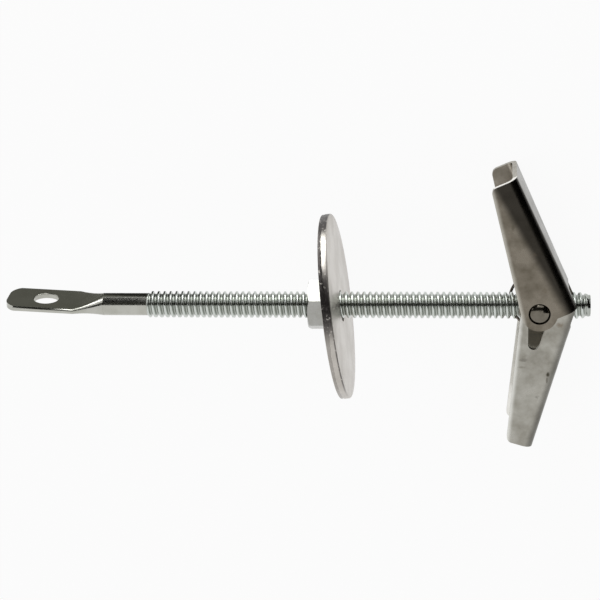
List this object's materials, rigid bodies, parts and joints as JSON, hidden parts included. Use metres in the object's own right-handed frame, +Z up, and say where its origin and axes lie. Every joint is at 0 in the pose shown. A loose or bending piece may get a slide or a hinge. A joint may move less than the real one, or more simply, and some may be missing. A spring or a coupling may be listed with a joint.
{
  "type": "toggle bolt",
  "caption": "Toggle bolt: a threaded stud with a flat eye carries a hex nut, a wide washer and a sprung toggle whose wings fold along the stud.",
  "frame": {"origin": "centre of the hole in the stud's eye", "axes": "+X runs level over the stud, from the eye's end towards the toggle; +Z is up as the bolt lies on a table"},
  "size_m": [0.0991, 0.0499, 0.034],
  "materials": {
    "stud_steel": "zinc plated, rolled thread",
    "nut_steel": "bright zinc plated",
    "washer_steel": "zinc plated, sheared edge",
    "trunnion_steel": "zinc plated",
    "upper_wing_steel": "pressed sheet, dull zinc with smudges",
    "lower_wing_steel": "pressed sheet, dull zinc with smudges",
    "spring_steel": "dark drawn wire"
  },
  "bodies": {
    "stud": {"eye_stud": "stud_steel"},
    "nut": {"hex_nut": "nut_steel"},
    "washer": {"washer": "washer_steel"},
    "toggle": {"trunnion": "trunnion_steel", "torsion_spring": "spring_steel"},
    "upper_wing": {"upper_wing": "upper_wing_steel"},
    "lower_wing": {"lower_wing": "lower_wing_steel"}
  },
  "joints": [
    {"name": "nut_travel", "type": "slide", "parent": "stud", "child": "nut", "axis": [0.9654, 0, -0.2608], "range_m": [-0.0275, 0.0024]},
    {"name": "washer_slide", "type": "slide", "parent": "nut", "child": "washer", "axis": [0.9654, 0, -0.2608], "range_m": [0, 0.0024]},
    {"name": "toggle_travel", "type": "slide", "parent": "stud", "child": "toggle", "axis": [0.9654, 0, -0.2608], "range_m": [-0.0024, 0.005]},
    {"name": "upper_wing_fold", "type": "hinge", "parent": "toggle", "child": "upper_wing", "pos_m": [0.08318, -0.00058, -0.02242], "axis": [0.2598, 0.0861, 0.9618], "range_deg": [0, 66.5], "stiffness_Nm_per_rad": 0.015, "springref_deg": -45.84, "deforming": ["torsion_spring"]},
    {"name": "lower_wing_fold", "type": "hinge", "parent": "toggle", "child": "lower_wing", "pos_m": [0.08318, -0.00058, -0.02242], "axis": [-0.2598, -0.0861, -0.9618], "range_deg": [0, 73.3], "stiffness_Nm_per_rad": 0.015, "springref_deg": -45.84, "deforming": ["torsion_spring"]}
  ]
}
